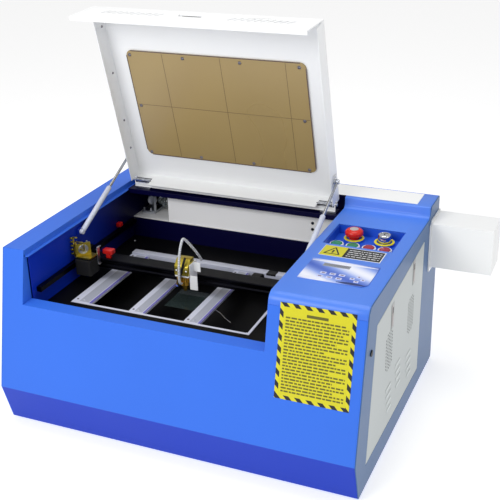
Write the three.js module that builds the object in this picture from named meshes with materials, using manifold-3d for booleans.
// Desktop laser cutter with an open lid, three.js. Millimetres, +Z up.
// X runs across the machine, Y from the front nose to the rear, Z up from the base plate's underside.
// The whole object is centred on the base plate at the end, so the origin is the middle of its underside.
import * as THREE from "three";
import { mergeVertices } from "three/addons/utils/BufferGeometryUtils.js";
import Module from "manifold-3d";

const wasm = await Module();
wasm.setup();

// Driving dimensions.
const HALF_WIDTH = 420;
const DEPTH = 636;
const TOP = 410;
const REAR_TOP = 436;
const SHEET = 2;
const GAP = 0.3;
const NOSE_Z = 94;
const TOE_Y = 27;
const FACE_TOP_Y = 72;
const BAY_LEFT = -365;
const BAY_RIGHT = 212.7;
const SILL_Z = 290;
const SILL_REACH = 80;
const BEND_RADIUS = 22;
const STEP_Y = 545;
const COVER_Y = 564.3;
const COVER_RIGHT = 384;
const BED_FLOOR_Z = 215;
const FRAME_TOP_Z = 262;
const BEAM_Z = 345;
const OPTIC_X = -332;
const OPTIC_Y = 250;
const TUBE_Y = 592;
const SHELF_Z = 314;
const HEAD_X = -66;
const LID_LEFT = -341.5;
const LID_RIGHT = 198;
const LID_FRONT = 69;
const LID_REAR = 530;
const LID_TOP = 447;
const LID_FLANGE = 45;
const SKIRT_LEFT = -362;
const SKIRT_DROP = 102.6;
const HINGE_Y = 530;
const HINGE_Z = 422;
const LID_OPEN_DEG = 74.8;
const STRUT_LOW = [280, 374];
const STRUT_HIGH = [515, 486];
const STRUT_BORE = 3.3;

// Finishes shared by several parts: colour, roughness, metalness.
const BLUE = [0x4a7cf0, 0.5, 0.1];
const DARK_BLUE = [0x1b2a66, 0.6, 0.1];
const WHITE = [0xe9ebec, 0.5, 0.1];
const BLACK = [0x16171a, 0.55, 0.2];
const STEEL = [0xb9bcc0, 0.35, 0.9];
const BRASS = [0xc79a3c, 0.35, 0.9];
const RUBBER = [0x141414, 0.9, 0];

const group = new THREE.Group();

function finish(name, geometry, look) {
  const [color, roughness, metalness] = look;
  const material = new THREE.MeshStandardMaterial({ color, roughness, metalness });
  geometry.translate(0, -DEPTH / 2, 0);
  const mesh = new THREE.Mesh(geometry, material);
  mesh.name = name;
  group.add(mesh);
}

// Shape helpers. Each returns a closed geometry in the working frame.
function box(x0, x1, y0, y1, z0, z1) {
  const shape = new THREE.BoxGeometry(x1 - x0, y1 - y0, z1 - z0);
  return shape.translate((x0 + x1) / 2, (y0 + y1) / 2, (z0 + z1) / 2);
}

function extrude(points, depth) {
  const shape = new THREE.Shape(points.map(([a, b]) => new THREE.Vector2(a, b)));
  return new THREE.ExtrudeGeometry(shape, { depth, bevelEnabled: false });
}

// Profile of (y, z) points swept along X.
function alongX(points, x0, x1) {
  const basis = new THREE.Matrix4().set(0, 0, 1, x0, 1, 0, 0, 0, 0, 1, 0, 0, 0, 0, 0, 1);
  return extrude(points, x1 - x0).applyMatrix4(basis);
}

// Profile of (x, z) points swept along Y.
function alongY(points, y0, y1) {
  const basis = new THREE.Matrix4().set(1, 0, 0, 0, 0, 0, -1, y1, 0, 1, 0, 0, 0, 0, 0, 1);
  return extrude(points, y1 - y0).applyMatrix4(basis);
}

// Outline of (x, y) points raised along Z.
function alongZ(points, z0, z1) {
  return extrude(points, z1 - z0).translate(0, 0, z0);
}

function rounded(x0, x1, y0, y1, radius, steps) {
  const corners = [[x1 - radius, y0 + radius], [x1 - radius, y1 - radius],
    [x0 + radius, y1 - radius], [x0 + radius, y0 + radius]];
  const points = [];
  corners.forEach(([cx, cy], quarter) => {
    for (let i = 0; i <= steps; i += 1) {
      const a = ((quarter - 1) + i / steps) * Math.PI / 2;
      points.push([cx + radius * Math.cos(a), cy + radius * Math.sin(a)]);
    }
  });
  return points;
}

function cylinderX(radius, x0, x1, y, z, sides = 24) {
  const shape = new THREE.CylinderGeometry(radius, radius, x1 - x0, sides);
  return shape.rotateZ(Math.PI / 2).translate((x0 + x1) / 2, y, z);
}

function cylinderY(radius, y0, y1, x, z, sides = 24) {
  return new THREE.CylinderGeometry(radius, radius, y1 - y0, sides).translate(x, (y0 + y1) / 2, z);
}

function cylinderZ(radius, z0, z1, x, y, sides = 24, top = radius) {
  const shape = new THREE.CylinderGeometry(top, radius, z1 - z0, sides);
  return shape.rotateX(Math.PI / 2).translate(x, y, (z0 + z1) / 2);
}

// Booleans.
function toManifold(geometry) {
  const plain = geometry.clone();
  plain.deleteAttribute("normal");
  plain.deleteAttribute("uv");
  const merged = mergeVertices(plain, 1e-4);
  return new wasm.Manifold(new wasm.Mesh({
    numProp: 3,
    vertProperties: new Float32Array(merged.attributes.position.array),
    triVerts: new Uint32Array(merged.index.array),
  }));
}

function fromManifold(solid) {
  const mesh = solid.getMesh();
  const indexed = new THREE.BufferGeometry();
  indexed.setAttribute("position", new THREE.BufferAttribute(mesh.vertProperties, 3));
  indexed.setIndex(new THREE.BufferAttribute(mesh.triVerts, 1));
  const flat = indexed.toNonIndexed();
  flat.computeVertexNormals();
  return flat;
}

function combine(base, added, removed = []) {
  let solid = toManifold(base);
  added.forEach((geometry) => { solid = solid.add(toManifold(geometry)); });
  removed.forEach((geometry) => { solid = solid.subtract(toManifold(geometry)); });
  return fromManifold(solid);
}

// The front face leans back from the nose to the top.
function faceY(z) {
  return FACE_TOP_Y * (z - NOSE_Z) / (TOP - NOSE_Z);
}

// Outline of the console's bent front corner, offset inwards by `inset`.
function bendPoints(inset) {
  const length = Math.hypot(FACE_TOP_Y, TOP - NOSE_Z);
  const lean = (TOP - NOSE_Z) / length;
  const centreZ = TOP - BEND_RADIUS;
  const centreY = faceY(centreZ) + BEND_RADIUS / lean;
  const start = Math.PI - Math.asin(FACE_TOP_Y / length);
  const points = [];
  for (let i = 0; i <= 6; i += 1) {
    const a = start + (Math.PI / 2 - start) * i / 6;
    points.push([centreY + (BEND_RADIUS - inset) * Math.cos(a), centreZ + (BEND_RADIUS - inset) * Math.sin(a)]);
  }
  return points;
}

function buildCabinet() {
  const inner = HALF_WIDTH - SHEET - GAP;
  const rearIn = DEPTH - SHEET - GAP;
  finish("base_plate", box(-inner, inner, 29.6, rearIn, 0, 3), BLUE);

  // Lower front with its sill, plus the column on either side of the loading cut-out.
  const lower = [[TOE_Y, 0], [0, NOSE_Z], [faceY(SILL_Z), SILL_Z], [SILL_REACH, SILL_Z],
    [SILL_REACH, SILL_Z - SHEET], [faceY(SILL_Z - SHEET) + 2.05, SILL_Z - SHEET], [2.05, NOSE_Z], [TOE_Y + 2.05, 0]];
  const seam = TOP - BEND_RADIUS - 2;
  const column = (top) => [[faceY(SILL_Z - 5), SILL_Z - 5], [faceY(top), top],
    [faceY(top) + 2.05, top], [faceY(SILL_Z - 5) + 2.05, SILL_Z - 5]];
  const folded = (top, x0, x1) => alongX([[faceY(SILL_Z - 1) + 1, SILL_Z - 1], [SILL_REACH, SILL_Z - 1],
    [SILL_REACH, top], [faceY(top) + 1, top]], x0, x1);
  finish("front_panel", combine(alongX(lower, -inner, inner), [
    alongX(column(TOP), -inner, BAY_LEFT - GAP), alongX(column(seam), BAY_RIGHT, inner),
    folded(TOP - 16.3, BAY_LEFT - 2, BAY_LEFT - GAP), folded(seam, BAY_RIGHT, BAY_RIGHT + 1.7)]), BLUE);

  finish("left_side_panel", alongX([[TOE_Y, 0], [DEPTH, 0], [DEPTH, TOP], [FACE_TOP_Y, TOP], [0, NOSE_Z]],
    -HALF_WIDTH, -HALF_WIDTH + SHEET), BLUE);
  const rail = [[-inner, TOP - 2], [BAY_LEFT - 2, TOP - 2], [BAY_LEFT - 2, TOP - 16], [BAY_LEFT + 8, TOP - 16],
    [BAY_LEFT + 8, TOP - 14], [BAY_LEFT, TOP - 14], [BAY_LEFT, TOP], [-inner, TOP]];
  finish("left_top_rail", alongY(rail, FACE_TOP_Y + 2.4, rearIn), BLUE);

  // Right side sheet: raised at the rear, with the door opening and the hole for the laser tube.
  const side = [[TOE_Y, 0], [DEPTH, 0], [DEPTH, REAR_TOP], [558, REAR_TOP], [552, 417], [STEP_Y, TOP],
    ...bendPoints(0).reverse(), [0, NOSE_Z]];
  const doorHole = [[70, 53], [491, 44], [502, 374], [124, 349]];
  finish("right_side_panel", combine(alongX(side, HALF_WIDTH - SHEET, HALF_WIDTH), [], [
    alongX(doorHole, HALF_WIDTH - 10, HALF_WIDTH + 10),
    cylinderX(30, HALF_WIDTH - 10, HALF_WIDTH + 10, TUBE_Y, BEAM_Z, 32)]), BLUE);

  // Console skin: bent front corner, flat top, then the step up to the tube compartment.
  const outer = [[faceY(seam + GAP), seam + GAP], ...bendPoints(0), [STEP_Y, TOP], [551, 414], [556, 425], [558, REAR_TOP]];
  const under = [[COVER_Y - GAP, REAR_TOP], [COVER_Y - GAP, REAR_TOP - 2], [560, REAR_TOP - 2], [558, 424],
    [552, 411], [STEP_Y, TOP - 2], ...bendPoints(2).reverse(), [faceY(seam + GAP) + 2.05, seam + GAP]];
  finish("console_cover", combine(alongX([...outer, ...under], BAY_RIGHT, inner), [
    box(COVER_RIGHT + GAP, inner, 560, rearIn, REAR_TOP - 2, REAR_TOP)], [
    box(232, 388, 338, 452, TOP - 10, TOP + 10)]), BLUE);
  finish("rear_cover", combine(box(BAY_LEFT + GAP, COVER_RIGHT, COVER_Y, rearIn, TOP + 1, REAR_TOP), [], [
    box(BAY_LEFT + 2 + GAP, COVER_RIGHT - 2, COVER_Y + 2, rearIn - 2, 0, REAR_TOP - 2)]), WHITE);

  const back = [[-inner, 0], [inner, 0], [inner, REAR_TOP], [BAY_LEFT, REAR_TOP], [BAY_LEFT, TOP], [-inner, TOP]];
  finish("rear_panel", combine(alongY(back, DEPTH - SHEET, DEPTH), [], [
    cylinderY(50, DEPTH - 10, DEPTH + 10, -140, 130, 40), box(300, 327, DEPTH - 10, DEPTH + 10, 80, 100)]), BLUE);
  finish("exhaust_collar", combine(cylinderY(62, DEPTH + GAP, DEPTH + 2.3, -140, 130, 40),
    [cylinderY(52, DEPTH + 2, DEPTH + 30, -140, 130, 40)], [cylinderY(50, DEPTH - 1, DEPTH + 31, -140, 130, 40)]), STEEL);
  finish("power_inlet", combine(box(292, 335, DEPTH + GAP, DEPTH + 4, 74, 106),
    [box(300.4, 326.6, DEPTH - 18, DEPTH + 1, 80.4, 99.6)], [box(303, 324, DEPTH - 12, DEPTH + 5, 83, 97)]), BLACK);

  [[-380, 70, "front_left"], [380, 70, "front_right"], [-380, 596, "rear_left"], [380, 596, "rear_right"]]
    .forEach(([x, y, place]) => finish(`foot_${place}`, cylinderZ(15, -6, -GAP, x, y, 24, 17), RUBBER));
}

function buildBay() {
  finish("bed_tray", box(BAY_LEFT + 4.3, BAY_RIGHT - 2.3, 34, 534.7, BED_FLOOR_Z - 2, BED_FLOOR_Z), BLACK);
  // Left wall, low rear wall and right wall folded from one strip, with a bracket block for each strut.
  finish("bay_lining", combine(box(BAY_LEFT + 2, BAY_RIGHT + 1.8, 535, 536.5, BED_FLOOR_Z - 2, SHELF_Z - 2.3), [
    box(BAY_LEFT + 2, BAY_LEFT + 3.5, 81, DEPTH - 2.3, BED_FLOOR_Z - 2, TOP - 16.3),
    box(BAY_RIGHT + GAP, BAY_RIGHT + 1.8, 92, 536.5, BED_FLOOR_Z - 2, TOP - 2.3),
    box(BAY_LEFT + 3, BAY_LEFT + 9.7, 272, 288, 366, 382),
    box(BAY_RIGHT - 1.8, BAY_RIGHT + 1, 272, 288, 366, 382)]), DARK_BLUE);
  finish("bed_deck", combine(box(BAY_LEFT + 3.8, BAY_RIGHT, 84, 534.7, FRAME_TOP_Z - 3.5, FRAME_TOP_Z - 0.5), [], [
    box(-306.5, 136.5, 142.5, 440.5, 0, TOP)]), BLACK);

  // Cross rail under the lid's rear edge; the lid hinges sit on it.
  const rail = [[515, 388], [517, 388], [517, 398], [564, 398], [564, REAR_TOP], [562, REAR_TOP],
    [562, 400], [515, 400]];
  finish("hinge_rail", alongX(rail, BAY_LEFT + 8.3, BAY_RIGHT - GAP), DARK_BLUE);
  [["left", -322], ["right", 178]].forEach(([place, x]) => finish(`lid_hinge_${place}`, combine(
    cylinderX(4, x - 24, x + 24, HINGE_Y, HINGE_Z, 20),
    [box(x - 20, x + 20, HINGE_Y - 1.2, HINGE_Y + 1.2, 402, HINGE_Z),
      box(x - 20, x + 20, HINGE_Y - 1.2, HINGE_Y + 26, 400.3, 402.3)]), BLACK));

  finish("tube_shelf", box(BAY_LEFT + 3.8, HALF_WIDTH - 2.3, 538, DEPTH - 2.3, SHELF_Z - 2, SHELF_Z), WHITE);
  finish("tube_partition", combine(box(-258, BAY_RIGHT - GAP, 540, 541.5, SHELF_Z + GAP, 397.7), [], [
    cylinderY(4, 530, 550, 136, 362, 20), cylinderY(4, 530, 550, 136, 346, 20)]), WHITE);
}

function buildBed() {
  const bars = [[-306, -256], [-159, -119], [-22, 17], [130, 136]];
  const slats = bars.map(([x0, x1]) => box(x0, x1, 143, 440, FRAME_TOP_Z - 5, FRAME_TOP_Z));
  const cross = [[143, 149], [424, 440]].map(([y0, y1]) => box(-306, 136, y0, y1, FRAME_TOP_Z - 6, FRAME_TOP_Z));
  const legs = [[-300, 149], [-300, 432], [130, 149], [130, 432]].map(([x, y]) => (
    box(x - 5, x + 5, y - 5, y + 5, BED_FLOOR_Z + GAP, FRAME_TOP_Z - 2)));
  finish("bed_frame", combine(cross[0], [cross[1], ...slats, ...legs]), WHITE);
}

function buildTube() {
  finish("laser_tube", combine(cylinderX(22, -296, 538, TUBE_Y, BEAM_Z, 32),
    [cylinderX(9, -310, -290, TUBE_Y, BEAM_Z), cylinderX(9, 530, 552, TUBE_Y, BEAM_Z)]), [0xcfd9dc, 0.1, 0]);
  [["left", -200], ["right", 300]].forEach(([place, x]) => finish(`tube_clamp_${place}`, combine(
    box(x - 9, x + 9, TUBE_Y - 32, TUBE_Y + 32, SHELF_Z + GAP, 372), [],
    [cylinderX(22.3, x - 20, x + 20, TUBE_Y, BEAM_Z, 32)]), BLACK));
  const flange = [[545, 278], [635, 278], [635, 404], [556, 404], [545, 392]];
  finish("tube_flange", combine(alongX(flange, HALF_WIDTH + GAP, 424), [], [
    cylinderX(30, HALF_WIDTH - 10, 430, TUBE_Y, BEAM_Z, 32)]), BLUE);
  finish("tube_housing", combine(box(424.3, 566, 547, DEPTH, 290, 399), [], [
    box(420, 564, 549, DEPTH - 2, 292, 397)]), WHITE);
  // First mirror, turning the beam from the tube towards the front.
  finish("mirror_mount_1", combine(box(-352, -314, TUBE_Y - 22, TUBE_Y + 22, SHELF_Z + GAP, 320),
    [box(-24, 24, -3, 3, 0, 42).rotateZ(-Math.PI / 4).translate(-333, TUBE_Y, 318)]), BRASS);
}

function buildGantry() {
  finish("y_rail_left", box(-361.2, -349, 96, 530, 300, 312), STEEL);
  finish("y_rail_right", box(200, BAY_RIGHT - GAP, 96, 530, 300, 312), STEEL);
  finish("gantry_beam", combine(box(-329.7, 181.7, 275, 313, 290, 314), [
    box(-329.7, 181.7, 313, 317, 290, 296)], [box(-340, 190, 272, 277, 299, 306)]), BLACK);
  finish("gantry_carriage_left", combine(box(-348.7, -330, 275, 317, 296, 326),
    [box(-348.7, -336, 275, 300, 324, 336)]), STEEL);
  finish("gantry_carriage_right", box(182, 199.7, 268, 317, 296, 340), STEEL);
  finish("x_motor", combine(rotatedMotor(), [cylinderZ(11, 322, 326, -325, 251)]), BLACK);
  // Second mirror: an angle plate on a foot above the motor, turning the beam along the gantry.
  finish("mirror_mount_2", combine(box(-346, -304, 234, 268, 326.3, 330),
    [box(-18, 18, -2.5, 2.5, 0, 31).rotateZ(Math.PI / 4).translate(OPTIC_X, OPTIC_Y, 328.5)]), BRASS);
  // Cable chain: a flat loop behind the beam, wide along X and curled over in the YZ plane.
  const link = new THREE.Shape([[-11, -3], [11, -3], [11, 3], [-11, 3]].map(([a, b]) => new THREE.Vector2(a, b)));
  const turn = [90, 60, 30, 0, -30, -60, -90].map((deg) => deg * Math.PI / 180);
  const route = [[321, 306], ...turn.map((a) => [336 + 10 * Math.cos(a), 296 + 10 * Math.sin(a)]), [321, 286]];
  const path = new THREE.CatmullRomCurve3(route.map(([y, z]) => new THREE.Vector3(77, y, z)));
  finish("cable_chain", new THREE.ExtrudeGeometry(link, {
    steps: 24, extrudePath: path, bevelEnabled: false }), RUBBER);
}

function rotatedMotor() {
  return alongZ(rounded(-346, -304, 230, 272, 5, 2), 285, 323);
}

function buildHead() {
  const x = HEAD_X;
  finish("head_carriage", combine(box(x - 26, x + 17, 266, 274.7, 292, 344), [
    box(x - 20, x + 17, 273, 276.4, 300, 305)]), BLACK);
  finish("head_block", combine(box(x - 17, x + 17, 234, 265.7, 326, 362), [],
    [cylinderX(7, x - 18, x, OPTIC_Y, BEAM_Z, 20)]), BRASS);
  const tube = [[0, 282], [2, 282], [4, 283], [8, 296], [12, 300], [12, 325.7], [0, 325.7]];
  const lathe = new THREE.LatheGeometry(tube.map(([r, z]) => new THREE.Vector2(r, z)), 28);
  finish("lens_nozzle", combine(lathe.rotateX(Math.PI / 2).translate(x, OPTIC_Y, 0), [
    cylinderY(3, OPTIC_Y - 17, OPTIC_Y - 6, x, 308, 16)]), BRASS);
  finish("head_bracket", combine(box(x + 17.3, x + 19.3, 240, 274, 292, 352),
    [box(x + 18, x + 36, 240, 242, 292, 326), box(x + 18, x + 36, 258, 260, 330, 352)]), WHITE);
  const section = new THREE.Shape();
  section.absarc(0, 0, 3, 0, Math.PI * 2);
  const path = new THREE.CatmullRomCurve3([[0, 232.4, 308], [0, 228, 308.4], [0, 221, 320], [2, 228, 378],
    [10, 246, 393], [20, 268, 382], [24, 284, 360], [24, 290, 345]].map(([a, y, z]) => new THREE.Vector3(x + a, y, z)));
  finish("air_hose", new THREE.ExtrudeGeometry(section, {
    steps: 36, curveSegments: 5, extrudePath: path, bevelEnabled: false }), [0xd8dcdc, 0.3, 0]);
}

// Strut parts are drawn along +Y from the lower pivot, then tipped up to their rest angle.
function placeStrut(geometry, x) {
  const angle = Math.atan2(STRUT_HIGH[1] - STRUT_LOW[1], STRUT_HIGH[0] - STRUT_LOW[0]);
  return geometry.rotateX(angle).translate(x, STRUT_LOW[0], STRUT_LOW[1]);
}

function buildStruts() {
  const reach = Math.hypot(STRUT_HIGH[0] - STRUT_LOW[0], STRUT_HIGH[1] - STRUT_LOW[1]);
  [["left", -350], ["right", 205.5]].forEach(([place, x]) => {
    finish(`strut_cylinder_${place}`, placeStrut(combine(cylinderY(5, 4, 150, 0, 0),
      [box(-4.5, 4.5, -6, 6, -6, 6)], [cylinderY(STRUT_BORE, 12, 160, 0, 0)]), x), STEEL);
    finish(`strut_rod_${place}`, placeStrut(combine(cylinderY(3, 86, reach - 4, 0, 0),
      [box(-4.5, 4.5, reach - 6, reach + 6, -5, 5)]), x), BLACK);
  });
}

// The lid is drawn closed and swung open about its hinge line.
function openLid(geometry) {
  const swing = -LID_OPEN_DEG * Math.PI / 180;
  return geometry.translate(0, -HINGE_Y, -HINGE_Z).rotateX(swing).translate(0, HINGE_Y, HINGE_Z);
}

function buildLid() {
  const bottom = LID_TOP - LID_FLANGE;
  const lean = Math.atan2(FACE_TOP_Y, TOP - NOSE_Z);
  const footY = LID_FRONT - SKIRT_DROP * Math.sin(lean);
  const footZ = LID_TOP - SKIRT_DROP * Math.cos(lean);
  const skirt = [[LID_FRONT, LID_TOP], [footY, footZ], [footY + 9.5, footZ - 1], [footY + 9.5, footZ + 0.6],
    [footY + 1.9, footZ + 1.5], [LID_FRONT + 1.6, LID_TOP - 1.5], [LID_FRONT + 6, LID_TOP - 1.5], [LID_FRONT + 6, LID_TOP]];
  const slots = [];
  const slotAt = (cx, count, first) => {
    for (let i = 0; i < count; i += 1) {
      const slot = box(-2.2, 2.2, -20, 20, -13, 13).rotateY(0.5);
      slots.push(slot.translate(cx + first + i * 15, LID_FRONT - 9, LID_TOP - 42));
    }
  };
  slotAt(0, 10, -302);
  slotAt(0, 10, 8);
  const handle = box(-122, -66, 40, 66, LID_TOP - 44, LID_TOP - 32);
  const shell = combine(box(LID_LEFT, LID_RIGHT, LID_FRONT, LID_REAR, bottom, LID_TOP), [], [
    box(LID_LEFT + 1.5, LID_RIGHT - 1.5, LID_FRONT - 5, LID_REAR - 1.5, bottom - 5, LID_TOP - 1.5)]);
  const front = combine(alongX(skirt, SKIRT_LEFT, LID_RIGHT), [], [...slots, handle]);
  const studs = [[LID_LEFT - 3.4, LID_LEFT + 1], [LID_RIGHT - 1, LID_RIGHT + 2.7]].map(([x0, x1]) => (
    box(x0, x1, HINGE_Y - 71, HINGE_Y - 59, HINGE_Z - 4, HINGE_Z + 8)));
  const view = alongZ(rounded(-284, 136, LID_REAR - 342, LID_REAR - 86, 12, 4), LID_TOP - 10, LID_TOP + 10);
  const pockets = [-322, 178].map((x) => box(x - 25, x + 25, LID_REAR - 8, LID_REAR + 5, bottom - 5, HINGE_Z + 9));
  finish("lid_shell", openLid(combine(shell, [front, ...studs], [view, ...pockets])), WHITE);
  finish("lid_window", openLid(alongZ(rounded(-299, 149, LID_REAR - 357, LID_REAR - 70, 14, 5),
    LID_TOP - 4.8, LID_TOP - 1.8)), [0x8a4a20, 0.15, 0]);
}

function buildConsole() {
  const floor = 388;
  const bore = (x, y, r) => cylinderZ(r, floor - 20, floor + 30, x, y);
  const ring = (x, y, r, h) => cylinderZ(r, floor - 4, floor + h, x, y);
  const small = [["green_button_left", 252], ["green_button_right", 289], ["red_button_left", 326],
    ["red_button_right", 362]];
  const tray = combine(box(232, 388, 338, 452, floor - 3, TOP - 2.3), [], [box(234, 386, 340, 450, floor, TOP + 10)]);
  finish("button_tray", combine(tray, [ring(278, 420, 22.5, 5), ring(348, 420, 22.5, 5),
    ...small.map(([, x]) => ring(x, 374, 14, 5))],
  [bore(278, 420, 11.3), bore(348, 420, 15.3), ...small.map(([, x]) => bore(x, 374, 10.3))]), DARK_BLUE);
  small.forEach(([name, x], i) => finish(name, cylinderZ(10, floor - 6, floor + 9, x, 374, 24),
    i < 2 ? [0x1d9a3c, 0.4, 0] : [0xb8201c, 0.4, 0]));
  finish("emergency_stop", combine(cylinderZ(11, floor - 8, floor + 14, 278, 420),
    [cylinderZ(14, floor + 11, floor + 15, 278, 420, 28, 18), cylinderZ(18, floor + 15, floor + 24, 278, 420, 28),
      cylinderZ(18, floor + 24, floor + 28, 278, 420, 28, 14)]), [0xc81e1a, 0.4, 0]);
  finish("key_switch", combine(cylinderZ(15, floor - 8, floor + 16, 348, 420, 28),
    [cylinderZ(15, floor + 16, floor + 20, 348, 420, 28, 11)], [box(346.6, 349.4, 412, 428, floor + 15, floor + 30)]), STEEL);
  const panel = [[241, 154], [376, 154], [387, 165], [387, 252], [241, 252]];
  finish("control_panel", alongZ(panel, TOP + GAP, TOP + 1.5), [0xc4d2ee, 0.4, 0]);
}

function buildDoor() {
  const x0 = HALF_WIDTH - 2;
  const leaf = [[71, 54], [490, 45.4], [501, 373], [124.8, 348]];
  const slots = [[239, 313], [411, 337]].map(([y, z]) => box(x0 - 5, x0 + 5, y - 8, y + 8, z - 26, z + 26));
  finish("service_door", combine(alongX(leaf, x0, HALF_WIDTH), [], [...slots,
    cylinderX(7.5, x0 - 5, x0 + 5, 86.4, 306.7)].slice(0, 2)), WHITE);
  [["front", 239, 313], ["rear", 411, 337]].forEach(([place, y, z]) => finish(`door_latch_${place}`,
    box(x0 - 1, HALF_WIDTH + 2, y - 7.4, y + 7.4, z - 25.4, z + 25.4), BLACK));
}

buildCabinet();
buildBay();
buildBed();
buildTube();
buildGantry();
buildHead();
buildStruts();
buildLid();
buildConsole();
buildDoor();

export default group;
